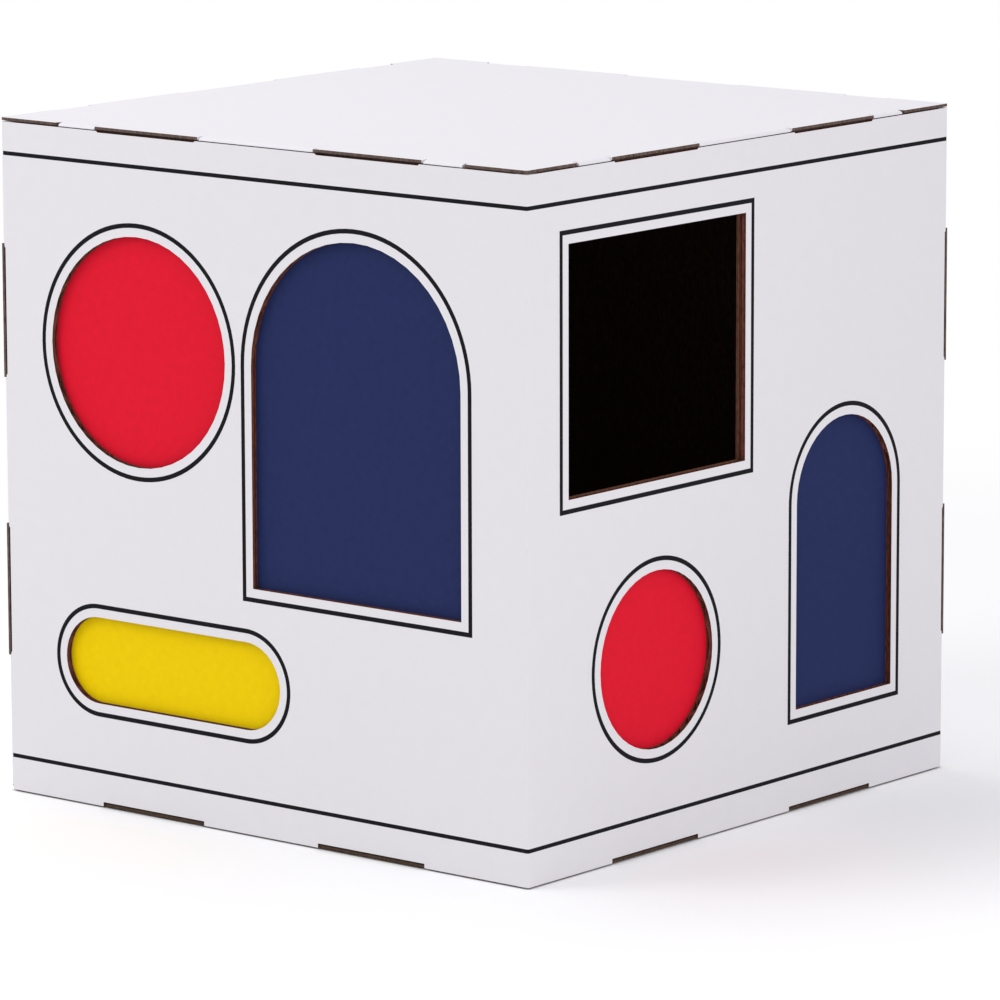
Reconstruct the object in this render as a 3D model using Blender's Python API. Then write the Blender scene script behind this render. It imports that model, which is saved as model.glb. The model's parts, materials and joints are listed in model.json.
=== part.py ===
"""Cardboard cat house.

A cube of folded corrugated board. One sheet makes the entrance wall and the left wall. A second,
creased at both ends, makes the back wall and the side wall and tucks in behind the first. A lid
tucks in from above and a floor tray from below.
Coloured cards between the walls and two thin linings close the windows.

Metres, +Z up, origin on the floor under the middle of the cube. The entrance faces -Y.
"""

import math

import bmesh
import bpy
from mathutils import Matrix, Vector

# Overall size
WIDTH = 0.400                # along X, outside to outside
DEPTH = 0.400                # along Y, outside to outside
HEIGHT = 0.405               # floor to the lid's top

# Sheets
BOARD = 0.004                # corrugated board of the walls, lid and floor
LINING_BOARD = 0.0016        # thin corrugated board of the linings
CARD = 0.0006                # solid card behind a window
CRUSHED = 0.0017             # board pressed flat in a tab or a free corner
CLEAR = 0.0003               # gap between two pieces that touch

# Creases
FOLD_OUTSIDE = 0.0012        # outer radius of a plain vertical fold
FOLD_INSIDE = 0.0006         # inner radius of the same fold
LAP = 0.00245                # face of a creased sheet to the edge of the wall that it covers
ROLL_INSET = 0.0006          # rolled crease to the face of the wall that it covers
ROLL_REACH = 0.0034          # how far in from the roll's outer edge it starts to curve down
ROLL_LIP = 0.0004            # small radius where the roll turns under

# Tabs, which stay flat where the board folds
TAB_LENGTH = 0.080
TAB_OFFSET = 0.084           # middle of a tab to the middle of its pair
TAB_INSET = 0.0005           # tab's raw edge to the face of the wall that it lies on
TAB_SLIT = 0.001             # cut between a tab and the crease beside it
CREASE_TAB_HEIGHT = 0.206    # middle of the pair of tabs on a vertical crease
NOTCH_LENGTH = 0.075         # hollow in a wall's edge under a tab
NOTCH_DEPTH = 0.0008
NOTCH_SLOPE = 0.001          # how far a notch's end leans
FLOOR_SLOT_LENGTH = 0.080    # slot at the foot of a wall, where a floor tab shows
FLOOR_SLOT_HEIGHT = 0.0026
FLOOR_TAB_PLAY = 0.001       # floor tab's end to the end of its slot

# Flaps and corners
CORNER_RELIEF = 0.046        # free corner of the lid, with no crease
CORNER_CLIP = 0.001          # clipped tip of the lid's corner
RELIEF_SLOPE = 0.0015        # how far the end of the free corner leans
LID_FLAP = 0.033
SIDE_FLAP = 0.022
FLOOR_FLAP = 0.026
FLAP_TAPER = 0.008           # how far a flap narrows at each end
FOOT_CLIP = 0.0035           # clipped foot of a vertical crease

# Entrance, placed from the entrance wall's left end and from the lid's top
ENTRANCE_LEFT = 0.0364
ENTRANCE_DROP = 0.0444
ENTRANCE_WIDTH = 0.1631
ENTRANCE_HEIGHT = 0.1446

# Windows of the left wall: disc and pill beside its tuck flap, arch between the disc and the fold
LEFT_DISC_MARGIN = 0.0057    # tuck flap to the edge of the disc's card
LEFT_DISC_DROP = 0.130       # lid's top to the disc's middle
LEFT_DISC_RADIUS = 0.068
LEFT_ARCH_GAP = 0.020        # disc to arch
LEFT_ARCH_MARGIN = 0.048     # arch to the front fold
LEFT_ARCH_FLOOR = 0.146
LEFT_ARCH_DROP = 0.051       # lid's top to the arch's head
LEFT_PILL_MARGIN = 0.0137    # tuck flap to the edge of the pill's card
LEFT_PILL_FLOOR = 0.062
LEFT_PILL_WIDTH = 0.168
LEFT_PILL_HEIGHT = 0.052

# Windows of the entrance wall: disc from its left end, arch beside its tuck flap
ENTRANCE_DISC_MIDDLE = 0.117
ENTRANCE_DISC_FLOOR = 0.060
ENTRANCE_DISC_RADIUS = 0.052
ENTRANCE_ARCH_MARGIN = 0.0207  # edge of the arch's card to the tuck flap
ENTRANCE_ARCH_FLOOR = 0.060
ENTRANCE_ARCH_WIDTH = 0.095
ENTRANCE_ARCH_HEIGHT = 0.170

CARD_OVERLAP = 0.008         # card beyond the edge of its window

ROUND_STEPS = 24             # straight steps in half a turn of a window
FOLD_STEPS = 5               # straight steps round a fold or a roll

WALL_TOP = HEIGHT - LAP
SEAT = BOARD + CLEAR         # depth at which a flap, card or floor lies behind a wall
LINING_NEAR = SEAT + CARD + CLEAR
LINING_FAR = LINING_NEAR + LINING_BOARD
FLAP_END = BOARD + SIDE_FLAP + CLEAR   # wall's covered end to what lies beside its tuck flap
ROLL_DEPTH = LAP - CLEAR     # thickness of the rolled crease over a wall's edge
SUNK = BOARD / 2             # how far a shape starts inside the sheet that it grows from
PAST = 0.003                 # how far a cutter runs past what it cuts

# Each wall: turn about Z in degrees, its length, and the span to the wall across
WALLS = {
    "entrance": (0, WIDTH, DEPTH),
    "side": (90, DEPTH, WIDTH),
    "back": (180, WIDTH, DEPTH),
    "left": (-90, DEPTH, WIDTH),
}

TAB_PAIR = (-TAB_OFFSET, TAB_OFFSET)
CREASE_TABS = [CREASE_TAB_HEIGHT + offset for offset in TAB_PAIR]


def clear_scene():
    for item in list(bpy.data.objects):
        bpy.data.objects.remove(item, do_unlink=True)


def collection(name):
    made = bpy.data.collections.new(name)
    bpy.context.scene.collection.children.link(made)
    return made


def finish(name, colour, roughness):
    """Principled material from an sRGB colour."""
    material = bpy.data.materials.new(name)
    material.use_nodes = True
    shader = material.node_tree.nodes["Principled BSDF"]
    linear = [((part + 0.055) / 1.055) ** 2.4 if part > 0.04045 else part / 12.92 for part in colour]
    shader.inputs["Base Color"].default_value = (*linear, 1)
    shader.inputs["Roughness"].default_value = roughness
    shader.inputs["Metallic"].default_value = 0
    return material


def arc(x, y, radius, start, end, steps):
    """Points on a circle about (x, y), between two angles in degrees."""
    angles = [math.radians(start + (end - start) * step / steps) for step in range(steps + 1)]
    return [(x + radius * math.cos(angle), y + radius * math.sin(angle)) for angle in angles]


def rectangle(left, right, low, high):
    return [(left, low), (right, low), (right, high), (left, high)]


def disc(x, y, radius):
    return arc(x, y, radius, 0, 360, 2 * ROUND_STEPS)[:-1]


def arch(left, right, floor, top):
    """Upright opening with a half-round head."""
    radius = (right - left) / 2
    head = arc(left + radius, top - radius, radius, 0, 180, ROUND_STEPS)
    return [(left, floor), (right, floor)] + head


def pill(middle, floor, width, height):
    """Lying opening with half-round ends."""
    radius = height / 2
    reach = width / 2 - radius
    right = arc(middle + reach, floor + radius, radius, -90, 90, ROUND_STEPS)
    left = arc(middle - reach, floor + radius, radius, 90, 270, ROUND_STEPS)
    return right + left


def plate(name, outline, low, high, frame):
    """Solid from a flat outline in the frame's XY plane, from low to high along its Z."""
    curve = bpy.data.curves.new(name, "CURVE")
    curve.dimensions = "2D"
    curve.fill_mode = "BOTH"
    curve.extrude = (high - low) / 2
    spline = curve.splines.new("POLY")
    spline.points.add(len(outline) - 1)
    for point, (x, y) in zip(spline.points, outline):
        point.co = (x, y, 0, 1)
    spline.use_cyclic_u = True
    drawn = bpy.data.objects.new(name + "_outline", curve)
    bpy.context.scene.collection.objects.link(drawn)
    evaluated = drawn.evaluated_get(bpy.context.evaluated_depsgraph_get())
    mesh = bpy.data.meshes.new_from_object(evaluated)
    bpy.data.objects.remove(drawn)
    mesh.name = name
    mesh.transform(frame @ Matrix.Translation((0, 0, (low + high) / 2)))
    shape = bmesh.new()
    shape.from_mesh(mesh)
    # Places on a grid of a micrometre, so that faces meant to be flush are exactly flush
    for vertex in shape.verts:
        vertex.co = [round(place, 6) for place in vertex.co]
    bmesh.ops.remove_doubles(shape, verts=shape.verts, dist=0.000001)
    bmesh.ops.recalc_face_normals(shape, faces=shape.faces)
    shape.to_mesh(mesh)
    shape.free()
    made = bpy.data.objects.new(name, mesh)
    guides.objects.link(made)
    return made


def wall_frame(wall):
    """X along the wall from its middle, Y inward from its outer face, Z up."""
    turn, _, span = WALLS[wall]
    return Matrix.Rotation(math.radians(turn), 4, "Z") @ Matrix.Translation((0, -span / 2, 0))


def on_wall(name, wall, outline, near, far):
    """Solid from an outline drawn on a wall, between two depths inward from its outer face."""
    stand_up = Matrix.Rotation(math.radians(90), 4, "X")
    return plate(name, outline, -far, -near, wall_frame(wall) @ stand_up)


def from_left_end(wall, outline):
    """Outline measured from a wall's left end, moved to the wall's middle."""
    half = WALLS[wall][1] / 2
    return [(x - half, y) for x, y in outline]


def crease_frame(corner, inward, outward):
    """X inward from the covered wall's face, Y out of the creased sheet, Z along the crease."""
    turned = Matrix((inward, outward, inward.cross(outward))).transposed().to_4x4()
    return Matrix.Translation(corner) @ turned


def combine(target, operation, solids):
    """Join solids to the target or cut them from it, one live modifier for each."""
    for solid in solids:
        solid.hide_render = True
        solid.display_type = "WIRE"
        step = target.modifiers.new(solid.name, "BOOLEAN")
        step.operation = operation
        step.solver = "EXACT"
        step.object = solid


def piece(made, material, parent):
    """Move a finished solid to the house's own collection, with its material."""
    guides.objects.unlink(made)
    house.objects.link(made)
    made.data.materials.clear()
    made.data.materials.append(material)
    made.parent = parent
    made.matrix_parent_inverse = Matrix.Translation(parent.location).inverted()
    return made


def roll_profile():
    """Section of a rolled crease: a long soft curve down from the sheet, and a flat underside."""
    fall = ROLL_DEPTH - ROLL_LIP
    quarter = arc(0, -fall, fall, 90, 180, FOLD_STEPS)
    top = [(ROLL_INSET + ROLL_REACH * (1 + x / fall), y) for x, y in quarter]
    lip = arc(ROLL_INSET + ROLL_LIP, ROLL_LIP - ROLL_DEPTH, ROLL_LIP, 180, 270, FOLD_STEPS)
    root = SEAT + SUNK
    return [(root, 0)] + top + lip + [(root, -ROLL_DEPTH)]


def rolls(name, frame, start, end, tabs):
    """Rolled crease from start to end, with a break at each tab."""
    half_cut = TAB_LENGTH / 2 + TAB_SLIT
    starts = [start] + [tab + half_cut for tab in tabs]
    ends = [tab - half_cut for tab in tabs] + [end]
    stretches = enumerate(zip(starts, ends))
    return [plate(f"{name}_roll_{i}", roll_profile(), low, high, frame) for i, (low, high) in stretches]


def flat_tabs(name, frame, tabs, length):
    """Flat tabs beside the rolls, with the raw edge of the board outward."""
    outline = rectangle(TAB_INSET, SEAT + SUNK, -CRUSHED, 0)
    made = []
    for i, tab in enumerate(tabs):
        made.append(plate(f"{name}_tab_{i}", outline, tab - length / 2, tab + length / 2, frame))
    return made


def flap_outline(start, end, tabs, reach):
    """Tapered flap as (along its fold, away from it), open where each tab was cut from it."""
    half_cut = TAB_LENGTH / 2 + TAB_SLIT
    tab_reach = SEAT - TAB_INSET
    outline = [(start, -SUNK)]
    for tab in tabs:
        outline += [(tab - half_cut, -SUNK), (tab - half_cut, tab_reach)]
        outline += [(tab + half_cut, tab_reach), (tab + half_cut, -SUNK)]
    return outline + [(end, -SUNK), (end - FLAP_TAPER, reach), (start + FLAP_TAPER, reach)]


def folded_walls(name, turn, end_gap):
    """Two walls of one sheet round a plain vertical fold, drawn in plan and extruded upward."""
    x, y = WIDTH / 2, DEPTH / 2
    outside = arc(FOLD_OUTSIDE - x, FOLD_OUTSIDE - y, FOLD_OUTSIDE, 180, 270, FOLD_STEPS)
    inner = BOARD + FOLD_INSIDE
    inside = arc(inner - x, inner - y, FOLD_INSIDE, 270, 180, FOLD_STEPS)
    far_end = [(x - end_gap, -y), (x - end_gap, BOARD - y)]
    near_end = [(BOARD - x, y - end_gap), (-x, y - end_gap)]
    frame = Matrix.Rotation(math.radians(turn), 4, "Z")
    return plate(name, outside + far_end + inside + near_end, 0, WALL_TOP, frame)


def edge_cuts(wall):
    """Shallow notches in a wall's top edge and slots at its foot."""
    made = []
    for i, tab in enumerate(TAB_PAIR):
        low, high = WALL_TOP - NOTCH_DEPTH, WALL_TOP + NOTCH_DEPTH
        narrow, wide = NOTCH_LENGTH / 2, NOTCH_LENGTH / 2 + 2 * NOTCH_SLOPE
        notch = [(tab - narrow, low), (tab + narrow, low), (tab + wide, high), (tab - wide, high)]
        made.append(on_wall(f"{wall}_top_notch_{i}", wall, notch, -PAST, BOARD + PAST))
        half = FLOOR_SLOT_LENGTH / 2
        slot = rectangle(tab - half, tab + half, -PAST, FLOOR_SLOT_HEIGHT)
        made.append(on_wall(f"{wall}_foot_slot_{i}", wall, slot, -PAST, BOARD + PAST))
    return made


def end_notches(wall, end, outward):
    """Shallow notches in the upright end of a covered wall, beside the tabs of the crease."""
    made = []
    for i, tab in enumerate(CREASE_TABS):
        low, high = end - outward * NOTCH_DEPTH, end + outward * NOTCH_DEPTH
        narrow, wide = NOTCH_LENGTH / 2, NOTCH_LENGTH / 2 + 2 * NOTCH_SLOPE
        notch = [(low, tab - narrow), (high, tab - wide), (high, tab + wide), (low, tab + narrow)]
        made.append(on_wall(f"{wall}_end_notch_{i}", wall, notch, -PAST, BOARD + PAST))
    return made


def foot_clip(wall, end, inward):
    """Clipped lower corner of a vertical crease."""
    tip, back = end - inward * PAST, end + inward * (FOOT_CLIP + PAST)
    outline = [(back, -PAST), (tip, -PAST), (tip, FOOT_CLIP + PAST)]
    return on_wall(f"{wall}_foot_clip", wall, outline, -PAST, BOARD + PAST)


def make_front_wrap(material):
    """Left wall and entrance wall, covered at both ends by the rear wrap's creases."""
    wrap = folded_walls("front_wrap", 0, LAP)
    cuts = edge_cuts("left") + edge_cuts("entrance")
    cuts += end_notches("left", LAP - DEPTH / 2, -1)
    cuts += end_notches("entrance", WIDTH / 2 - LAP, 1)
    for name, (wall, outline) in {**WINDOWS, "entrance": ("entrance", ENTRANCE)}.items():
        cuts.append(on_wall(name + "_cut", wall, from_left_end(wall, outline), -PAST, BOARD + PAST))
    combine(wrap, "DIFFERENCE", cuts)
    return piece(wrap, material, stand)


def make_rear_wrap(material):
    """Back wall and side wall, with a rolled crease and a tuck flap at each far end."""
    wrap = folded_walls("rear_wrap", 180, SEAT)
    out_right, out_back, back, right = Vector((1, 0, 0)), Vector((0, 1, 0)), DEPTH / 2, WIDTH / 2
    back_crease = crease_frame((-right, back, 0), out_right, out_back)
    side_crease = crease_frame((right, -back, 0), out_back, out_right)
    flap_low, flap_high = SEAT, HEIGHT - BOARD - CLEAR
    flap = flap_outline(flap_low, flap_high, CREASE_TABS, SIDE_FLAP)
    behind_left = [(away + BOARD - back, along) for along, away in flap]
    behind_entrance = [(right - BOARD - away, along) for along, away in flap]
    # The side crease's frame points down, so its places along the crease are turned over
    downward = [-tab for tab in reversed(CREASE_TABS)]
    grown = rolls("back", back_crease, 0, WALL_TOP, CREASE_TABS)
    grown += rolls("side", side_crease, -WALL_TOP, 0, downward)
    grown += flat_tabs("back", back_crease, CREASE_TABS, TAB_LENGTH)
    grown += flat_tabs("side", side_crease, downward, TAB_LENGTH)
    grown.append(on_wall("left_tuck_flap", "left", behind_left, SEAT, SEAT + BOARD))
    grown.append(on_wall("entrance_tuck_flap", "entrance", behind_entrance, SEAT, SEAT + BOARD))
    combine(wrap, "UNION", grown)
    cuts = edge_cuts("back") + edge_cuts("side")
    cuts += [foot_clip("side", -back, 1), foot_clip("back", right, -1)]
    combine(wrap, "DIFFERENCE", cuts)
    return piece(wrap, material, stand)


def make_lid(material):
    """Top panel with rolled creases, flat tabs, free corners and a tuck flap on each side."""
    x, y = WIDTH / 2, DEPTH / 2
    level = Matrix.Identity(4)
    inner = rectangle(SEAT - x, x - SEAT, SEAT - y, y - SEAT)
    lid = plate("lid", inner, HEIGHT - BOARD, HEIGHT, level)
    grown = []
    for wall, (_, length, _) in WALLS.items():
        frame = wall_frame(wall)
        inward = (frame.to_3x3() @ Vector((0, 1, 0))).normalized()
        crease = crease_frame(frame @ Vector((0, 0, HEIGHT)), inward, Vector((0, 0, 1)))
        end = length / 2 - CORNER_RELIEF
        grown += rolls(f"lid_{wall}", crease, -end + TAB_SLIT, end - TAB_SLIT, TAB_PAIR)
        grown += flat_tabs(f"lid_{wall}", crease, TAB_PAIR, TAB_LENGTH)
        flap = [(u, HEIGHT - BOARD - away) for u, away in flap_outline(-end, end, TAB_PAIR, LID_FLAP)]
        grown.append(on_wall(f"lid_{wall}_flap", wall, flap, SEAT, SEAT + BOARD))
        corner = wall_frame(wall) @ Matrix.Translation((-length / 2, 0, 0))
        tip, long, short = TAB_INSET + CORNER_CLIP, CORNER_RELIEF, CORNER_RELIEF - RELIEF_SLOPE
        free = [(tip, TAB_INSET), (short, TAB_INSET), (long, SEAT), (long, long), (SEAT, long)]
        free += [(TAB_INSET, short), (TAB_INSET, tip)]
        grown.append(plate(f"lid_{wall}_corner", free, HEIGHT - CRUSHED, HEIGHT, corner))
    combine(lid, "UNION", grown)
    return piece(lid, material, lid_slide)


def make_floor_tray(material):
    """Floor sheet between the walls, with flaps up inside them and tabs out through their feet."""
    x, y = WIDTH / 2, DEPTH / 2
    inner = rectangle(SEAT - x, x - SEAT, SEAT - y, y - SEAT)
    tray = plate("floor_tray", inner, 0, BOARD, Matrix.Identity(4))
    grown = []
    for wall, (_, length, _) in WALLS.items():
        end = length / 2 - CORNER_RELIEF
        flap = [(u, BOARD + away) for u, away in flap_outline(-end, end, TAB_PAIR, FLOOR_FLAP)]
        grown.append(on_wall(f"floor_{wall}_flap", wall, flap, SEAT, SEAT + BOARD))
        half = FLOOR_SLOT_LENGTH / 2 - FLOOR_TAB_PLAY
        for i, tab in enumerate(TAB_PAIR):
            outline = rectangle(tab - half, tab + half, 0, CRUSHED)
            grown.append(on_wall(f"floor_{wall}_tab_{i}", wall, outline, TAB_INSET, SEAT + SUNK))
    combine(tray, "UNION", grown)
    return piece(tray, material, stand)


def make_lining(name, wall, left, right, material):
    """Thin sheet behind the cards, standing on a floor flap and ending under a lid flap."""
    low = BOARD + FLOOR_FLAP + CLEAR
    high = HEIGHT - BOARD - LID_FLAP - CLEAR
    made = on_wall(name, wall, rectangle(left, right, low, high), LINING_NEAR, LINING_FAR)
    return piece(made, material, stand)


def make_linings(material):
    """One lining behind each wall that has windows, the entrance one cut through at the entrance."""
    across = make_lining("entrance_lining", "entrance",
                         SEAT - WIDTH / 2, WIDTH / 2 - FLAP_END, material)
    make_lining("left_lining", "left",
                FLAP_END - DEPTH / 2, DEPTH / 2 - LINING_FAR - CLEAR, material)
    way_in = from_left_end("entrance", ENTRANCE)
    depths = (LINING_NEAR - PAST, LINING_FAR + PAST)
    combine(across, "DIFFERENCE", [on_wall("lining_cut", "entrance", way_in, *depths)])


def make_card(name, wall, outline, material):
    """Coloured card that closes one window from behind."""
    across, up = zip(*from_left_end(wall, outline))
    card = rectangle(min(across) - CARD_OVERLAP, max(across) + CARD_OVERLAP,
                     min(up) - CARD_OVERLAP, max(up) + CARD_OVERLAP)
    return piece(on_wall(name, wall, card, SEAT, SEAT + CARD), material, stand)


def empty(name, place):
    made = bpy.data.objects.new(name, None)
    made.location = place
    house.objects.link(made)
    return made


ENTRANCE_HEAD = HEIGHT - ENTRANCE_DROP
ENTRANCE = rectangle(ENTRANCE_LEFT, ENTRANCE_LEFT + ENTRANCE_WIDTH,
                     ENTRANCE_HEAD - ENTRANCE_HEIGHT, ENTRANCE_HEAD)
LEFT_DISC_MIDDLE = FLAP_END + LEFT_DISC_MARGIN + CARD_OVERLAP + LEFT_DISC_RADIUS
LEFT_ARCH_START = LEFT_DISC_MIDDLE + LEFT_DISC_RADIUS + LEFT_ARCH_GAP
LEFT_ARCH_END = DEPTH - LEFT_ARCH_MARGIN
LEFT_PILL_MIDDLE = FLAP_END + LEFT_PILL_MARGIN + CARD_OVERLAP + LEFT_PILL_WIDTH / 2
ENTRANCE_ARCH_END = WIDTH - FLAP_END - ENTRANCE_ARCH_MARGIN - CARD_OVERLAP
WINDOWS = {
    "blue_arch_card": ("left", arch(
        LEFT_ARCH_START, LEFT_ARCH_END, LEFT_ARCH_FLOOR, HEIGHT - LEFT_ARCH_DROP)),
    "red_disc_card": ("left", disc(
        LEFT_DISC_MIDDLE, HEIGHT - LEFT_DISC_DROP, LEFT_DISC_RADIUS)),
    "yellow_pill_card": ("left", pill(
        LEFT_PILL_MIDDLE, LEFT_PILL_FLOOR, LEFT_PILL_WIDTH, LEFT_PILL_HEIGHT)),
    "blue_small_arch_card": ("entrance", arch(
        ENTRANCE_ARCH_END - ENTRANCE_ARCH_WIDTH, ENTRANCE_ARCH_END,
        ENTRANCE_ARCH_FLOOR, ENTRANCE_ARCH_FLOOR + ENTRANCE_ARCH_HEIGHT)),
    "red_small_disc_card": ("entrance", disc(
        ENTRANCE_DISC_MIDDLE, ENTRANCE_DISC_FLOOR + ENTRANCE_DISC_RADIUS, ENTRANCE_DISC_RADIUS)),
}

clear_scene()
house = collection("cardboard_cat_house")
guides = collection("cutters_and_guides")
stand = empty("stand", (0, 0, 0))
lid_slide = empty("lid_slide", (0, 0, HEIGHT))

white_board = finish("white_corrugated_board", (0.94, 0.94, 0.95), 0.7)
lid_board = finish("white_lid_board", (0.95, 0.95, 0.96), 0.7)
floor_board = finish("brown_floor_board", (0.66, 0.52, 0.38), 0.85)
lining_board = finish("brown_lining_board", (0.60, 0.46, 0.34), 0.85)
colours = {
    "blue": finish("blue_printed_card", (0.16, 0.18, 0.36), 0.6),
    "red": finish("red_printed_card", (0.88, 0.10, 0.20), 0.6),
    "yellow": finish("yellow_printed_card", (0.95, 0.80, 0.02), 0.6),
}

make_front_wrap(white_board)
make_rear_wrap(white_board)
make_lid(lid_board)
make_floor_tray(floor_board)
make_linings(lining_board)
for name, (wall, outline) in WINDOWS.items():
    make_card(name, wall, outline, colours[name.split("_")[0]])
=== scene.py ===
# %% [markdown]
# A cardboard cat house, dressed in Blender
#
# The house is a cube of corrugated board: white paper outside, brown paper inside, and a wavy
# paper between them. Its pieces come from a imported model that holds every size. This lesson gives
# those pieces their real layers, their print, their paper and a plain studio round them.

# %% Load the model and read its sizes
import json
import math

import bmesh
import bpy
from mathutils import Matrix, Vector


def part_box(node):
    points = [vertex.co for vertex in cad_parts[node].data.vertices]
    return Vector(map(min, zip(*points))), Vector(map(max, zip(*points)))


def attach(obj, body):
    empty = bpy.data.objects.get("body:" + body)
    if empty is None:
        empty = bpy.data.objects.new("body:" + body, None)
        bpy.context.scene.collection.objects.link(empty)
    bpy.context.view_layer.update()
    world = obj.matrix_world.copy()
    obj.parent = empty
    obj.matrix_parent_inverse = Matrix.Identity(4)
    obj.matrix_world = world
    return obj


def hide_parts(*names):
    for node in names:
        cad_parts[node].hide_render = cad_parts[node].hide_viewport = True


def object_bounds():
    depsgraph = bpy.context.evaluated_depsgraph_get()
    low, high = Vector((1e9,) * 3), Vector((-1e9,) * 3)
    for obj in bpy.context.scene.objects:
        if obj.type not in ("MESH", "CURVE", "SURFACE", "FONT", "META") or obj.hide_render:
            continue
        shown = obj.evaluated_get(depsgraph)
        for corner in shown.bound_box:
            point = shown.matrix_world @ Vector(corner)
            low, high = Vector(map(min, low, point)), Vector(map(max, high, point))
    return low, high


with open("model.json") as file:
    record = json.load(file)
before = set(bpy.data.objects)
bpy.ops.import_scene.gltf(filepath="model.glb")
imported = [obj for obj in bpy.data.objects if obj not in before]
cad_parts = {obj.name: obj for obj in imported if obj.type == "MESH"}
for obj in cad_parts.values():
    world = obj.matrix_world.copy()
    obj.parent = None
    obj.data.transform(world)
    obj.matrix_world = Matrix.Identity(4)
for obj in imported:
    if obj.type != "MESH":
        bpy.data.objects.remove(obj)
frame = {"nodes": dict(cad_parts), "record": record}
model_low, model_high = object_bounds()
width, depth, height = model_high - model_low
print(f"house {width * 1000:.0f} x {depth * 1000:.0f} x {height * 1000:.0f} mm")

# %% [markdown]
# The studio photograph behind this lesson was taken with a long lens from a little above, so the
# upright edges hardly lean. A camera is placed by its distance and two angles, which is how a
# photographer would describe it: how far round the house it stands, and how far above the floor.

# %% Camera
CAMERA_TURN = math.radians(-50.65)
CAMERA_RISE = math.radians(10.35)
CAMERA_ROLL = math.radians(-0.15)
CAMERA_PLACE = Vector((-2.884, -2.381, 0.853))
LENS_MM = 228.3

lens = bpy.data.cameras.new("studio_camera")
lens.lens = LENS_MM
lens.sensor_width = 36
lens.clip_start, lens.clip_end = 0.1, 50
camera = bpy.data.objects.new("studio_camera", lens)
bpy.context.scene.collection.objects.link(camera)
level = Matrix.Rotation(math.radians(90) - CAMERA_RISE, 4, "X")
rolled = Matrix.Rotation(CAMERA_ROLL, 4, "Z")
camera.matrix_world = (Matrix.Translation(CAMERA_PLACE) @ Matrix.Rotation(CAMERA_TURN, 4, "Z")
                       @ level @ rolled)
bpy.context.scene.camera = camera
print(f"camera {CAMERA_PLACE.length:.2f} m from the house, lens {LENS_MM} mm")

# %% [markdown]
# Every material below is a small node tree. Colours are written as the hex values a painter's
# chart would give, and turned once into the linear light that a renderer works in. One helper adds
# a node, sets its inputs and links it, so that each recipe reads from top to bottom.

# %% Helpers for materials
MM = 0.001


def linear(hex_colour):
    """sRGB hex to linear red, green, blue and alpha."""
    parts = [int(hex_colour[i:i + 2], 16) / 255 for i in (1, 3, 5)]
    return [((p + 0.055) / 1.055) ** 2.4 if p > 0.04045 else p / 12.92 for p in parts] + [1]


def add_node(tree, kind, links=None, **settings):
    """Add a node; settings name its properties or inputs, links feed its inputs."""
    node = tree.nodes.new(kind)
    for name, value in settings.items():
        label = name.replace("_", " ")
        if hasattr(node, name):
            setattr(node, name, value)
        else:
            node.inputs[label].default_value = value
    for name, source in (links or {}).items():
        tree.links.new(source, node.inputs[name])
    return node


def new_material(name):
    material = bpy.data.materials.new(name)
    material.use_nodes = True
    tree = material.node_tree
    shader = tree.nodes["Principled BSDF"]
    place = add_node(tree, "ShaderNodeTexCoord").outputs["Object"]
    return material, tree, shader, place


# %% [markdown]
# The outside of the board is white top liner: brown paper with a thin coat of white clay,
# printed and left matt. The eye reads three things on it. It is not quite even in tone, because
# fibres lie in clouds. It is faintly ribbed, because the flutes beneath pull it down every 8 mm
# or so. And it scatters light almost like chalk, with only a weak sheen at a glancing angle.
# Clouds and grain are noise in real millimetres, and the ribs are a sine across the flutes,
# pressed in as a bump.

# %% White top liner
FLUTE_PITCH = 7.8 * MM       # one wave of the thick board's middle paper
FIBRE_CLOUD = 9 * MM         # size of the cloudy patches in the paper
FIBRE_GRAIN = 0.5 * MM       # length of the fibres that show as grain


def white_liner(name, colour, ribs_along):
    """White coated paper; ribs_along is how the surface meets the flutes: upright or level."""
    material, tree, shader, place = new_material(name)
    cloud = add_node(tree, "ShaderNodeTexNoise", {"Vector": place},
                     Scale=1 / FIBRE_CLOUD, Detail=3.0)
    grain = add_node(tree, "ShaderNodeTexNoise", {"Vector": place},
                     Scale=1 / FIBRE_GRAIN, Detail=2.0)
    tone = add_node(tree, "ShaderNodeMapRange", {"Value": cloud.outputs["Fac"]},
                    To_Min=0.985, To_Max=1.012)
    shade = add_node(tree, "ShaderNodeVectorMath", {"Scale": tone.outputs["Result"]},
                     operation="SCALE")
    shade.inputs[0].default_value = linear(colour)[:3]
    tree.links.new(shade.outputs["Vector"], shader.inputs["Base Color"])
    split = add_node(tree, "ShaderNodeSeparateXYZ", {"Vector": place})
    if ribs_along == "upright":
        along = add_node(tree, "ShaderNodeMath", {0: split.outputs["X"], 1: split.outputs["Y"]},
                         operation="ADD").outputs["Value"]
    else:
        along = split.outputs["Y"]
    turn = add_node(tree, "ShaderNodeMath", {0: along}, operation="MULTIPLY")
    turn.inputs[1].default_value = 2 * math.pi / FLUTE_PITCH
    ribs = add_node(tree, "ShaderNodeMath", {0: turn.outputs["Value"]}, operation="SINE")
    rib_bump = add_node(tree, "ShaderNodeBump", {"Height": ribs.outputs["Value"]},
                        Strength=1.0, Distance=0.006 * MM)
    fibre_bump = add_node(tree, "ShaderNodeBump",
                          {"Height": grain.outputs["Fac"], "Normal": rib_bump.outputs["Normal"]},
                          Strength=0.5, Distance=0.05 * MM)
    tree.links.new(fibre_bump.outputs["Normal"], shader.inputs["Normal"])
    shader.inputs["Roughness"].default_value = 0.62
    shader.inputs["Specular IOR Level"].default_value = 0.35
    return material


wall_paper = white_liner("white_top_liner", "#E7E5E8", "upright")
# The lid is the same white liner painted a shade lighter, as painted light for the brighter top.
lid_paper_painted_light = white_liner("white_top_liner_lid_painted_light", "#EBE9ED", "level")
print("white papers:", wall_paper.name, lid_paper_painted_light.name)
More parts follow.
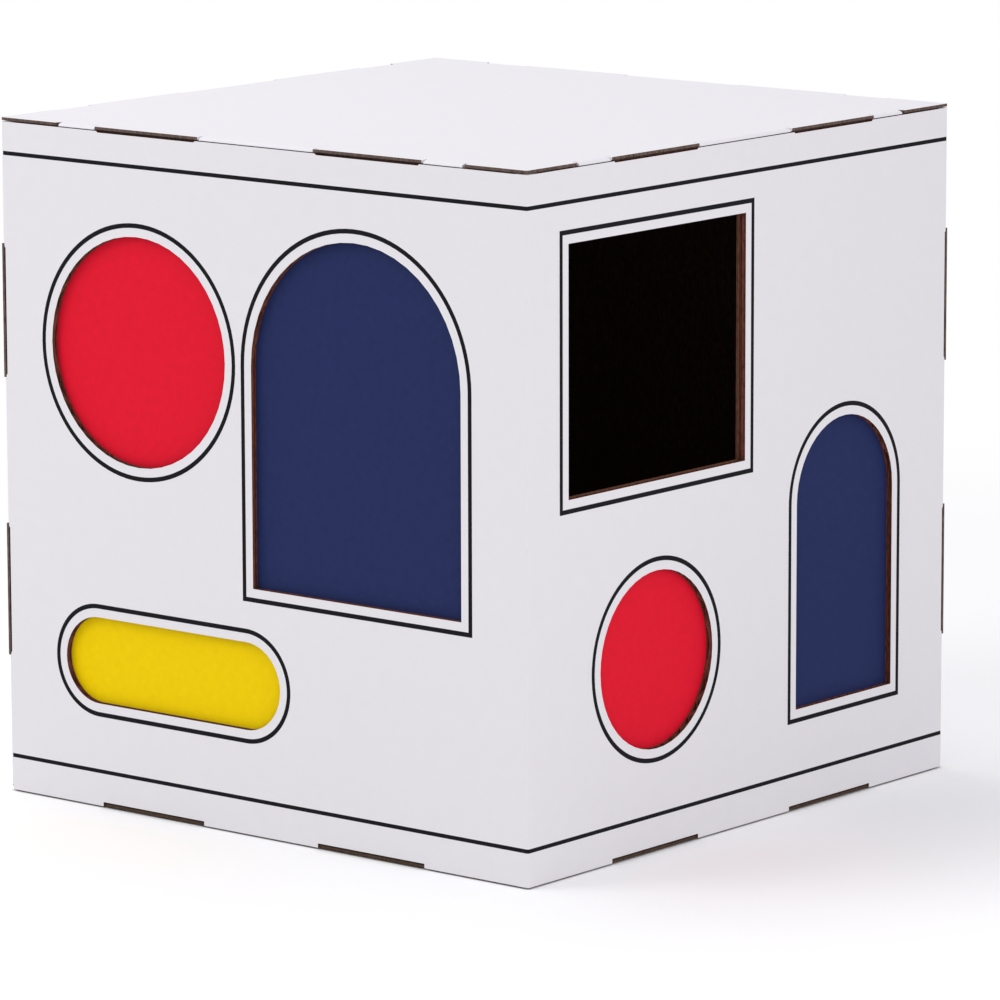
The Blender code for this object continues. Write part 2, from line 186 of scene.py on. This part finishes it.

# %% [markdown]
# Everything behind the white coat is kraft: unbleached brown paper from long fibres. It shows on
# the cut edges, on the wavy middle paper and on the inside. Kraft is warm and very matt, with
# short darker and lighter streaks that run with the fibres: stretched noise between two browns.
# A die tears the fibres of a cut edge open, so it is redder than the flat sheet. The raw ends of
# the tabs were pressed flat for their crease. The cut edges of the rear wrap and the lid are the
# same kraft painted lighter and greyer, as painted light where light falls into the slots. The
# inside paper is kraft painted darker, as painted shade for the dim inside of the house and for
# the slots at its foot.

# %% Kraft paper
FIBRE_STREAK = 1.2 * MM      # width of the streaks; they run four times as long


def kraft(name, light, dark, roughness):
    material, tree, shader, place = new_material(name)
    stretch = add_node(tree, "ShaderNodeMapping", {"Vector": place})
    stretch.inputs["Scale"].default_value = (1, 1, 0.25)
    streak = add_node(tree, "ShaderNodeTexNoise", {"Vector": stretch.outputs["Vector"]},
                      Scale=1 / FIBRE_STREAK, Detail=4.0, Roughness=0.65)
    ramp = add_node(tree, "ShaderNodeValToRGB", {"Fac": streak.outputs["Fac"]})
    ramp.color_ramp.elements[0].position = 0.3
    ramp.color_ramp.elements[0].color = linear(dark)
    ramp.color_ramp.elements[1].position = 0.7
    ramp.color_ramp.elements[1].color = linear(light)
    tree.links.new(ramp.outputs["Color"], shader.inputs["Base Color"])
    bump = add_node(tree, "ShaderNodeBump", {"Height": streak.outputs["Fac"]},
                    Strength=0.6, Distance=0.08 * MM)
    tree.links.new(bump.outputs["Normal"], shader.inputs["Normal"])
    shader.inputs["Roughness"].default_value = roughness
    shader.inputs["Specular IOR Level"].default_value = 0.08
    return material


raw_edge = kraft("kraft_cut_edge", "#8A5142", "#522C24", 0.95)
# Cut edges of the rear wrap and the lid: the same kraft painted lighter, as painted light.
tab_edge_painted_light = kraft("kraft_cut_edge_painted_light", "#7A675F", "#40332D", 0.95)
# The inside paper is kraft painted darker than the edges, as painted shade for the dim inside.
inside_paper_painted_shade = kraft("kraft_inside_painted_shade", "#5A483B", "#40322A", 0.95)
lining_paper = kraft("kraft_lining", "#9A7057", "#6E4A38", 0.95)
print("kraft papers:", raw_edge.name, tab_edge_painted_light.name, inside_paper_painted_shade.name, lining_paper.name)

# %% [markdown]
# The window colours are flat inks printed on smooth card. A solid print is never perfectly even:
# the ink soaks in more here and less there, so it is slightly mottled at the scale of a few
# millimetres, with a fine grain of bare fibres on top. It has no varnish, so the surface is matt
# and the colour stays deep from every side. The black of the printed lines is made the same way.

# %% Printed card
INK_MOTTLE = 5 * MM
INK_GRAIN = 0.6 * MM         # drawn coarser than real fibres, so that it shows in the render


def printed_card(name, colour, spread):
    material, tree, shader, place = new_material(name)
    mottle = add_node(tree, "ShaderNodeTexNoise", {"Vector": place},
                      Scale=1 / INK_MOTTLE, Detail=4.0)
    grain = add_node(tree, "ShaderNodeTexNoise", {"Vector": place},
                     Scale=1 / INK_GRAIN, Detail=2.0)
    both = add_node(tree, "ShaderNodeMath",
                    {0: mottle.outputs["Fac"], 1: grain.outputs["Fac"]}, operation="ADD")
    tone = add_node(tree, "ShaderNodeMapRange", {"Value": both.outputs["Value"]},
                    From_Min=0.6, From_Max=1.4, To_Min=1 - spread, To_Max=1 + spread)
    shade = add_node(tree, "ShaderNodeVectorMath", {"Scale": tone.outputs["Result"]},
                     operation="SCALE")
    shade.inputs[0].default_value = linear(colour)[:3]
    tree.links.new(shade.outputs["Vector"], shader.inputs["Base Color"])
    bump = add_node(tree, "ShaderNodeBump", {"Height": grain.outputs["Fac"]},
                    Strength=0.4, Distance=0.05 * MM)
    tree.links.new(bump.outputs["Normal"], shader.inputs["Normal"])
    shader.inputs["Roughness"].default_value = 0.7
    shader.inputs["Specular IOR Level"].default_value = 0.08
    return material


card_inks = {
    "blue": printed_card("blue_printed_card", "#262F5B", 0.12),
    "red": printed_card("red_printed_card", "#E41830", 0.06),
    "yellow": printed_card("yellow_printed_card", "#F4D000", 0.05),
}
black_ink = printed_card("black_screen_ink", "#17161A", 0.15)
print("inks:", ", ".join(card_inks), "and black")

# %% [markdown]
# Modelling starts from a few moves that every piece repeats: select one object alone, put its
# place into its mesh, apply one modifier, cut with a Boolean. A wall has its own frame, with X
# along it and Y into it, so that one piece of code draws on any of the four walls.

# %% Helpers for modelling
SAME_POINT = 0.002 * MM      # corners of the model's triangles closer than this are one


def deselect_all():
    if bpy.context.object and bpy.context.object.mode != "OBJECT":
        bpy.ops.object.mode_set(mode="OBJECT")
    bpy.ops.object.select_all(action="DESELECT")


def make_active(obj):
    deselect_all()
    obj.select_set(True)
    bpy.context.view_layer.objects.active = obj


def settle(obj, name, matrix=None):
    """Put an object's place into its mesh, then move the mesh by the matrix."""
    obj.name = obj.data.name = name
    obj.data.transform(obj.matrix_world.copy())
    obj.matrix_world = Matrix.Identity(4)
    if matrix:
        obj.data.transform(matrix)
    return obj


def apply_modifier(obj, kind, **settings):
    make_active(obj)
    step = obj.modifiers.new(kind.title(), kind)
    for key, value in settings.items():
        setattr(step, key, value)
    bpy.ops.object.modifier_apply(modifier=step.name)


def boolean(obj, tool, operation):
    apply_modifier(obj, "BOOLEAN", object=tool, operation=operation, solver="EXACT")


def solid_copy(node, name):
    """Merged copy of one of the model's pieces, free to be cut."""
    mesh = bpy.data.objects[node].data.copy()
    made = bpy.data.objects.new(name, mesh)
    bpy.context.scene.collection.objects.link(made)
    make_active(made)
    bpy.ops.object.mode_set(mode="EDIT")
    bpy.ops.mesh.select_all(action="SELECT")
    bpy.ops.mesh.remove_doubles(threshold=SAME_POINT)
    bpy.ops.object.mode_set(mode="OBJECT")
    mesh.materials.clear()
    return made


def wall_matrix(turn, span):
    """X along a wall from its middle, Y inward from its outer face, Z up from the floor."""
    return Matrix.Rotation(math.radians(turn), 4, "Z") @ Matrix.Translation((0, -span / 2, 0))


# Each wall: turn about Z, its length, and the span to the wall across
WALLS = {
    "entrance": (0, width, depth),
    "side": (90, depth, width),
    "back": (180, width, depth),
    "left": (-90, depth, width),
}

# %% [markdown]
# A cut edge of corrugated board shows three papers: the outer liner, the wavy middle paper glued
# to both sides, and the inner liner. Painting those lines on a solid edge looks flat as soon as
# the light comes from one side. So the solid wall is hollowed between its two liners, and a real
# wavy sheet is put in the hollow. The sheet starts as a grid whose points follow a sine, and
# gets the paper's thickness from a solidify step.

# %% Cores and wavy sheets
LINER = 0.35 * MM            # outer and inner paper of the thick board
FLUTE_PAPER = 0.28 * MM
THIN_LINER = 0.2 * MM        # papers of the thin lining board
THIN_FLUTE_PAPER = 0.18 * MM
THIN_PITCH = 3.3 * MM
STEPS_A_WAVE = 10
WALL_BOARD = 4.0 * MM
FOLD_ROOM = 9 * MM           # flutes stop here, where the board is pressed for a fold


def core_box(name, matrix, left, right, near, far, low, high):
    """The space between two liners, as a box that runs out past the board's edges."""
    deselect_all()
    bpy.ops.mesh.primitive_cube_add(size=1)
    box = bpy.context.object
    box.scale = (right - left, far - near, high - low)
    box.location = ((left + right) / 2, (near + far) / 2, (low + high) / 2)
    bpy.context.view_layer.update()
    return settle(box, name, matrix)


def wavy_sheet(name, matrix, left, right, near, far, low, high, pitch, paper):
    """One sheet whose height follows a sine across the wall, thickened to the paper's gauge."""
    steps = round((right - left) / pitch * STEPS_A_WAVE)
    deselect_all()
    bpy.ops.mesh.primitive_grid_add(x_subdivisions=steps, y_subdivisions=1, size=1)
    sheet = bpy.context.object
    sheet.scale = (right - left, high - low, 1)
    sheet.rotation_euler.x = math.radians(90)
    sheet.location = ((left + right) / 2, (near + far) / 2, (low + high) / 2)
    bpy.context.view_layer.update()
    settle(sheet, name)
    swing = (far - near - paper) / 2
    for vertex in sheet.data.vertices:
        vertex.co.y += swing * math.sin(2 * math.pi * (vertex.co.x - left) / pitch)
    apply_modifier(sheet, "SOLIDIFY", thickness=paper, offset=0)
    sheet.data.transform(matrix)
    return sheet


# %% [markdown]
# Both the hollow and the wavy sheet are trimmed against a copy of the model's own wall. The
# hollow is the wall less a box, and the sheet is the part of the wave that lies inside the wall.
# Every window and slot comes along by itself, so that no size is repeated here. The flutes stop
# short of the folds, where the board is pressed together.

# %% Corrugated wraps
def corrugate(node, walls, liner, paper, pitch, near, board):
    """Hollow a copy of a node along each wall, and trim a wavy sheet to fit each hollow."""
    solid = solid_copy(node, node + "_solid")
    hollow = solid_copy(node, node + "_board")
    waves = []
    for wall, left, right, low, high in walls:
        turn, _, span = WALLS[wall]
        place = wall_matrix(turn, span)
        inner, outer = near + liner, near + board - liner
        core = core_box("core", place, left, right, inner, outer, low, high)
        boolean(hollow, core, "DIFFERENCE")
        bpy.data.objects.remove(core)
        wave = wavy_sheet(f"{node}_{wall}_flutes", place, left, right, inner, outer, low, high,
                          pitch, paper)
        boolean(wave, solid, "INTERSECT")
        waves.append(wave)
    bpy.data.objects.remove(solid)
    return hollow, waves


PAST = 2 * MM                # cores and waves start this far outside the board's edges
half_width, half_depth = width / 2, depth / 2
front_board, front_waves = corrugate(
    "front_wrap",
    [("left", FOLD_ROOM - half_depth, half_depth - FOLD_ROOM, -PAST, height + PAST),
     ("entrance", FOLD_ROOM - half_width, half_width - FOLD_ROOM, -PAST, height + PAST)],
    LINER, FLUTE_PAPER, FLUTE_PITCH, 0, WALL_BOARD)
print("front board:", len(front_board.data.polygons), "faces,", len(front_waves), "wavy sheets")

rear_board, rear_waves = corrugate(
    "rear_wrap",
    [("back", FOLD_ROOM - half_width, half_width - FOLD_ROOM, -PAST, height + PAST),
     ("side", FOLD_ROOM - half_depth, half_depth - FOLD_ROOM, -PAST, height + PAST)],
    LINER, FLUTE_PAPER, FLUTE_PITCH, 0, WALL_BOARD)
print("rear board:", len(rear_board.data.polygons), "faces,", len(rear_waves), "wavy sheets")

# %% [markdown]
# Behind each wall with windows hangs a lining of thin board, which carries the coloured cards.
# It is built the same way with a finer wave. The lid and the floor show no cut edge across their
# flutes at a size that the eye can follow, so they stay solid.

# %% Linings, lid and floor
def thin_board(node, wall):
    """The thin lining board behind one wall, with its finer wave."""
    low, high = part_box(node)
    across = wall_matrix(*WALLS[wall][::2]).inverted()
    near = min((across @ low).y, (across @ high).y)
    thickness = abs((across @ high).y - (across @ low).y)
    half = WALLS[wall][1] / 2
    return corrugate(node, [(wall, -half, half, low.z - PAST, high.z + PAST)],
                     THIN_LINER, THIN_FLUTE_PAPER, THIN_PITCH, near, thickness)


entrance_lining_board, entrance_lining_waves = thin_board("entrance_lining", "entrance")
left_lining_board, left_lining_waves = thin_board("left_lining", "left")
lid_board = solid_copy("lid", "lid_board")
tray_board = solid_copy("floor_tray", "floor_tray_board")
print("lining, lid and floor boards made")

# %% [markdown]
# One board carries three papers, so its faces are sorted by where they lie and look. A face on
# the house's outer planes, round one of its rolled edges or on the outside of a tucked flap is
# white. The raw ends of the walls that lie under a rolled edge are painted white too, as painted
# light that lightens the seam below the roll. A face that looks inward is the inside paper. What
# is left was made by the knife, and is torn brown kraft. Sorting by place needs no painting by
# hand and survives any change of the model's windows.

# %% Sort the faces of each board
SQUARE_ON = 0.999            # cosine that counts as facing straight along an axis
EDGE_ON = 0.05               # cosine that counts as facing along an edge
LEANING = 0.01               # upward part of a normal that shows a face of a level roll
WHITE, CUT, INSIDE = range(3)    # a board's materials, in this order
ON_PLANE = 0.1 * MM
ROLL_INSET = 0.6 * MM        # rolled edges end this far inside the next wall's plane
ROLL_TOLERANCE = 0.04 * MM
ROLL_UNDER = 2.15 * MM       # underside of a rolled edge, where the white paper turns under
# Raw kraft wall ends under a roll are painted white, as painted light that lightens the seam.
COVERED_EDGE_PAINTED_LIGHT = 2.45 * MM     # upright or upper end of a wall that lies under a rolled edge
FLAP_FACE = 4.3 * MM         # outer face of a flap that is tucked behind a wall
WHITE_AND_PAINTED_LIGHT_PLACES = (0, ROLL_INSET, COVERED_EDGE_PAINTED_LIGHT)
ROUND_REACH = 4.5 * MM       # folds and rolls stay this close to the cube's edges
OUTWARD = (Vector((-1, 0, 0)), Vector((1, 0, 0)), Vector((0, -1, 0)), Vector((0, 1, 0)),
           Vector((0, 0, 1)))


def depths(point):
    """How far inside each outer plane of the house a point lies."""
    return (point.x + half_width, half_width - point.x, point.y + half_depth, half_depth - point.y,
            height - point.z)


def paper_of(centre, normal, rounds_are_level):
    """Which of its board's papers a face shows."""
    inside = depths(centre)
    for direction, reach in zip(OUTWARD, inside):
        facing = normal.dot(direction)
        # Outer faces and roll ends are white paper; covered wall ends are painted white as painted
        # light.
        if facing > SQUARE_ON and any(abs(reach - at) < ROLL_TOLERANCE for at in WHITE_AND_PAINTED_LIGHT_PLACES):
            return WHITE
        on_flap = abs(reach - FLAP_FACE) < ROLL_TOLERANCE and inside[4] > WALL_BOARD
        if facing > SQUARE_ON and on_flap:
            return WHITE
        if facing < -SQUARE_ON and abs(reach - ROLL_UNDER) < ROLL_TOLERANCE:
            return WHITE
        if facing < -SQUARE_ON and WALL_BOARD - ON_PLANE < reach < WALL_BOARD + ROUND_REACH:
            return INSIDE
    side = min(range(4), key=lambda i: inside[i])
    beside_tab = abs(normal.dot(OUTWARD[side])) < EDGE_ON and inside[side] < ROUND_REACH
    if rounds_are_level and beside_tab and inside[4] < ROLL_UNDER:
        return WHITE
    if max(abs(part) for part in normal) > SQUARE_ON:
        return CUT
    first, second = sorted(range(5), key=lambda i: inside[i])[:2]
    near_edge = inside[second] < ROUND_REACH
    looks_out = normal.dot(OUTWARD[first] + OUTWARD[second]) > 0
    is_level = abs(normal.z) > LEANING
    return WHITE if near_edge and looks_out and is_level == rounds_are_level else CUT


def dress_board(board, white, edge, inside, rounds_are_level):
    """Give a board its three papers, face by face."""
    for material in (white, edge, inside):
        board.data.materials.append(material)
    for face in board.data.polygons:
        face.material_index = paper_of(face.center, face.normal, rounds_are_level)
    return [sum(face.material_index == paper for face in board.data.polygons)
            for paper in (WHITE, CUT, INSIDE)]


# %% [markdown]
# The lid's flaps are white outside, but the strip between its sheet's two faces is a cut edge. One
# flat face of the model covers both, so it is first parted at the underside of the sheet.

# %% Dress the boards
make_active(lid_board)
bpy.ops.object.mode_set(mode="EDIT")
bpy.ops.mesh.select_all(action="SELECT")
bpy.ops.mesh.bisect(plane_co=(0, 0, height - WALL_BOARD), plane_no=(0, 0, 1))
bpy.ops.object.mode_set(mode="OBJECT")

print("white, cut and inside faces of the front board:",
      dress_board(front_board, wall_paper, raw_edge, inside_paper_painted_shade, False))
print("of the rear board:", dress_board(rear_board, wall_paper, tab_edge_painted_light, inside_paper_painted_shade, False))
print("of the lid:", dress_board(lid_board, lid_paper_painted_light, tab_edge_painted_light, inside_paper_painted_shade, True))

# The floor tray takes the darkened inside paper, as painted shade in the slots at its foot.
tray_board.data.materials.append(inside_paper_painted_shade)
entrance_lining_board.data.materials.append(lining_paper)
left_lining_board.data.materials.append(lining_paper)
for wave in front_waves + rear_waves + entrance_lining_waves + left_lining_waves:
    wave.data.materials.clear()
    wave.data.materials.append(raw_edge)

# %% [markdown]
# The dressed boards take the place of the plain solids. Each one rides on its body, the shell or
# the lid, so that it moves when the lid is lifted. A wavy sheet rides on the shell with its board.

# %% Tie the boards to the moving model
def stands_for(piece, body, slot, *nodes):
    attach(piece, body)
    if nodes:
        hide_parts(*nodes)


stands_for(front_board, "shell", "white_board", "front_wrap")
stands_for(rear_board, "shell", "white_board", "rear_wrap")
stands_for(lid_board, "lid", "white_board", "lid")
stands_for(tray_board, "shell", "brown_board", "floor_tray")
stands_for(entrance_lining_board, "shell", "brown_board", "entrance_lining")
stands_for(left_lining_board, "shell", "brown_board", "left_lining")
for wave in front_waves + rear_waves:
    stands_for(wave, "shell", "white_board")
for wave in entrance_lining_waves + left_lining_waves:
    stands_for(wave, "shell", "brown_board")
print("boards ride on their bodies")

# %% [markdown]
# The coloured cards behind the windows keep the model's shape, because a card is a flat sheet.
# They only need their ink. A node of the model takes a new material in its own slot.

# %% Ink on the cards
for name, obj in frame["nodes"].items():
    if name.endswith("_card"):
        obj.material_slots[0].material = card_inks[name.split("_")[0]]
        print(name, "takes", obj.material_slots[0].material.name)

# %% [markdown]
# A black line runs round each opening, a few millimetres outside its edge. Such lines are screen
# printed. A print is a film of ink with its own edge, so each line is a very thin raised strip,
# which stays sharp at any distance, where a painted line would need a large picture. A window's
# line starts as a plane, its corners are rounded by a vertex bevel as on a rounded rectangle,
# and an inset leaves the line.

# %% Lines round the openings
LINE = 2.7 * MM
LINE_GAP = 5.2 * MM          # edge of an opening to its line
INK_FILM = 0.06 * MM
CARD_OVERLAP = 8 * MM        # a card reaches this far past its window
ROUND_SEGMENTS = 24
MET_CORNERS = 0.02 * MM      # rounded corners that meet leave points this close


def printed_ring(name, wall, left, right, low, high, round_corners):
    """Line round an opening given on its wall; round_corners: none, upper or all."""
    grow = LINE_GAP + LINE
    wide, tall = right - left + 2 * grow, high - low + 2 * grow
    deselect_all()
    bpy.ops.mesh.primitive_plane_add(size=1)
    ring = bpy.context.object
    ring.scale = (wide, tall, 1)
    bpy.ops.object.transform_apply(scale=True)
    bpy.ops.object.mode_set(mode="EDIT")
    bpy.ops.mesh.select_mode(type="VERT")
    shape = bmesh.from_edit_mesh(ring.data)
    for vertex in shape.verts:
        vertex.select = round_corners == "all" or (round_corners == "upper" and vertex.co.y > 0)
    shape.select_flush_mode()
    bmesh.update_edit_mesh(ring.data)
    if round_corners != "none":
        bpy.ops.mesh.bevel(offset=min(wide, tall) / 2, offset_type="OFFSET", affect="VERTICES",
                           segments=ROUND_SEGMENTS, profile=0.5, clamp_overlap=True)
    bpy.ops.mesh.select_all(action="SELECT")
    bpy.ops.mesh.remove_doubles(threshold=MET_CORNERS)
    bpy.ops.mesh.select_mode(type="FACE")
    bpy.ops.mesh.select_all(action="SELECT")
    bpy.ops.mesh.inset(thickness=LINE)
    bpy.ops.mesh.delete(type="FACE")
    bpy.ops.object.mode_set(mode="OBJECT")
    apply_modifier(ring, "SOLIDIFY", thickness=INK_FILM, offset=1)
    turn, _, span = WALLS[wall]
    middle = Matrix.Translation(((left + right) / 2, 0, (low + high) / 2))
    stand_up = Matrix.Rotation(math.radians(90), 4, "X")
    settle(ring, name, wall_matrix(turn, span) @ middle @ stand_up)
    ring.data.materials.append(black_ink)
    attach(ring, "shell")
    return ring


def along_wall(wall, low, high):
    """A box of the model as left, right, low and high on its wall."""
    turned = wall_matrix(*WALLS[wall][::2]).inverted()
    a, b = turned @ low, turned @ high
    return min(a.x, b.x), max(a.x, b.x), a.z, b.z


# %% [markdown]
# A card reaches a fixed distance past its window, so its box gives the window's place and size.
# The entrance has no card; the model's record states the way in, which lies 1 mm inside the
# hole.

# %% Print the lines
SHAPES = {"arch": "upper", "disc": "all", "pill": "all"}
for name in frame["nodes"]:
    if not name.endswith("_card"):
        continue
    low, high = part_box(name)
    wall = "left" if high.x - low.x < high.y - low.y else "entrance"
    left, right, foot, top = along_wall(wall, low, high)
    shape = next(word for word in SHAPES if word in name)
    printed_ring(name.replace("_card", "_line"), wall, left + CARD_OVERLAP, right - CARD_OVERLAP,
                 foot + CARD_OVERLAP, top - CARD_OVERLAP, SHAPES[shape])
    print(name, "window", round((right - left - 2 * CARD_OVERLAP) / MM), "x",
          round((top - foot - 2 * CARD_OVERLAP) / MM), "mm")

openings = {box["name"]: box["box_m"] for box in frame["record"]["physics"]["openings"]}
OPENING_MARGIN = 1 * MM      # the stated way in lies this far inside the hole
way_in = along_wall("entrance", Vector(openings["entrance"][0]), Vector(openings["entrance"][1]))
printed_ring("entrance_line", "entrance", way_in[0] - OPENING_MARGIN, way_in[1] + OPENING_MARGIN,
             way_in[2] - OPENING_MARGIN, way_in[3] + OPENING_MARGIN, "none")

# %% [markdown]
# The two border lines turn the corner with the board. Their strip is drawn as a hand would draw
# it: along the left wall, round the fold, and along the entrance wall. In mesh terms that is an
# edge, an extrusion, a spin of a quarter turn about the fold's axis, and another extrusion.

# %% Border lines
FOLD_RADIUS = 1.2 * MM
FOLD_STEPS = 8
BORDER_LINE = 2.4 * MM
BORDER_END = 2.6 * MM        # the lines stop where the rolled edges begin
BORDERS = {"upper_border": height - 21 * MM, "lower_border": 21 * MM}


def border(name, middle):
    """A level line along the left wall, round the front fold and along the entrance wall."""
    deselect_all()
    bpy.ops.mesh.primitive_plane_add(size=1)
    strip = bpy.context.object
    bpy.ops.object.mode_set(mode="EDIT")
    bpy.ops.mesh.select_mode(type="VERT")
    shape = bmesh.from_edit_mesh(strip.data)
    corners = sorted(shape.verts, key=lambda v: (v.co.x, v.co.y))
    start = Vector((-half_width, half_depth - BORDER_END, middle - BORDER_LINE / 2))
    turn_in = Vector((-half_width, FOLD_RADIUS - half_depth, middle - BORDER_LINE / 2))
    for vertex, place, lift in zip(corners, (start, start, turn_in, turn_in), (0, 1, 0, 1)):
        vertex.co = place + Vector((0, 0, lift * BORDER_LINE))
        vertex.select = place is turn_in
    shape.select_flush_mode()
    bmesh.update_edit_mesh(strip.data)
    axis = (FOLD_RADIUS - half_width, FOLD_RADIUS - half_depth, middle)
    bpy.ops.mesh.spin(steps=FOLD_STEPS, angle=math.radians(-90), center=axis, axis=(0, 0, 1))
    bpy.ops.mesh.extrude_region_move(
        TRANSFORM_OT_translate={"value": (width - FOLD_RADIUS - BORDER_END, 0, 0)})
    bpy.ops.mesh.select_all(action="SELECT")
    bpy.ops.mesh.remove_doubles(threshold=SAME_POINT)
    bpy.ops.mesh.normals_make_consistent(inside=False)
    bpy.ops.object.mode_set(mode="OBJECT")
    apply_modifier(strip, "SOLIDIFY", thickness=INK_FILM, offset=0)
    settle(strip, name)
    strip.data.materials.append(black_ink)
    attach(strip, "shell")
    print(name, "at", round(middle / MM), "mm,", len(strip.data.polygons), "faces")


for name, middle in BORDERS.items():
    border(name, middle)

# %% [markdown]
# The studio is a white table that runs on out of sight. The table must look pure white, yet it
# must not be lit more than the house. So the camera reads its colour a little above full white,
# as a photographer's exposure would, and every other ray reads plain pale paint. Only the
# house's shadow shows on it. Past arm's length it gives way to the white of the room, so that no
# far edge or falling light greys it.

# %% Floor
FLOOR_DROP = 1.0 * MM        # the board's torn lower edge lifts the house a hair off the table
FLOOR_SIZE = 30
LIT_RADIUS, LOST_RADIUS = 0.7, 1.3

deselect_all()
bpy.ops.mesh.primitive_plane_add(size=FLOOR_SIZE, location=(0, 0, -FLOOR_DROP))
floor = bpy.context.object
floor.name = "studio_floor"
material, tree, shader, place = new_material("white_table")
tree.nodes.remove(shader)
paths = add_node(tree, "ShaderNodeLightPath")
pale = add_node(tree, "ShaderNodeMix", {0: paths.outputs["Is Camera Ray"]}, data_type="RGBA")
pale.inputs[6].default_value = linear("#FAFAFA")
pale.inputs[7].default_value = (1.05, 1.05, 1.05, 1)
matte = add_node(tree, "ShaderNodeBsdfDiffuse", {"Color": pale.outputs[2]})
reach = add_node(tree, "ShaderNodeVectorMath", {0: place}, operation="LENGTH")
far = add_node(tree, "ShaderNodeMapRange", {"Value": reach.outputs["Value"]},
               interpolation_type="SMOOTHSTEP", From_Min=LIT_RADIUS, From_Max=LOST_RADIUS)
direct = add_node(tree, "ShaderNodeMath",
                  {0: paths.outputs["Is Camera Ray"], 1: paths.outputs["Is Glossy Ray"]},
                  operation="MAXIMUM")
lost = add_node(tree, "ShaderNodeMath", {0: far.outputs["Result"], 1: direct.outputs["Value"]},
                operation="MULTIPLY")
glow = add_node(tree, "ShaderNodeEmission", Strength=1.0)
glow.inputs["Color"].default_value = (1, 1, 1, 1)
blend = add_node(tree, "ShaderNodeMixShader",
                 {0: lost.outputs["Value"], 1: matte.outputs["BSDF"], 2: glow.outputs["Emission"]})
tree.links.new(blend.outputs["Shader"], tree.nodes["Material Output"].inputs["Surface"])
floor.data.materials.append(material)
print("floor made")

# %% [markdown]
# The room's even light does most of the work and keeps every shade pale. Two large softboxes,
# one behind the house on the left and one high above its back, lift the lid and the left wall
# and throw the soft shadow toward the front. A weak fill near the entrance wall makes it a
# little lighter at the front fold. The camera and mirror-like rays see the room as pure white,
# which makes the background.

# %% Light
def soft_lamp(name, place, aim, size, watts, colour):
    light = bpy.data.lights.new(name, "AREA")
    light.shape = "DISK"
    light.size = size
    light.energy = watts
    light.color = colour
    lamp = bpy.data.objects.new(name, light)
    bpy.context.scene.collection.objects.link(lamp)
    lamp.location = place
    lamp.rotation_euler = (Vector(aim) - Vector(place)).to_track_quat("-Z", "Y").to_euler()
    return lamp


AIM = (0, 0, 0.2)
key = soft_lamp("key_softbox", (-1.5, 1.2, 1.7), AIM, 1.5, 12.6, (1, 1, 0.99))
back = soft_lamp("back_softbox", (0.1, 0.9, 2.6), AIM, 1.3, 9.0, (1, 1, 0.98))
fill = soft_lamp("front_fill", (-0.35, -1.3, 0.6), AIM, 0.9, 2.6, (1, 0.97, 0.98))

world = bpy.data.worlds.new("studio_room")
bpy.context.scene.world = world
world.use_nodes = True
tree = world.node_tree
room = tree.nodes["Background"]
room.inputs["Color"].default_value = linear("#F6F6FA")
room.inputs["Strength"].default_value = 0.785
white = add_node(tree, "ShaderNodeBackground", Strength=1.0)
white.inputs["Color"].default_value = (1, 1, 1, 1)
paths = add_node(tree, "ShaderNodeLightPath")
glossy_or_seen = add_node(tree, "ShaderNodeMath",
                          {0: paths.outputs["Is Camera Ray"], 1: paths.outputs["Is Glossy Ray"]},
                          operation="MAXIMUM")
shown = add_node(tree, "ShaderNodeMixShader",
                 {0: glossy_or_seen.outputs["Value"], 1: room.outputs[0], 2: white.outputs[0]})
tree.links.new(shown.outputs[0], tree.nodes["World Output"].inputs["Surface"])
bpy.context.scene.view_settings.view_transform = "Standard"
print("lamps:", key.name, back.name, fill.name)

# %% [markdown]
# At the end no object is left selected.

# %% Clear the selection
deselect_all()
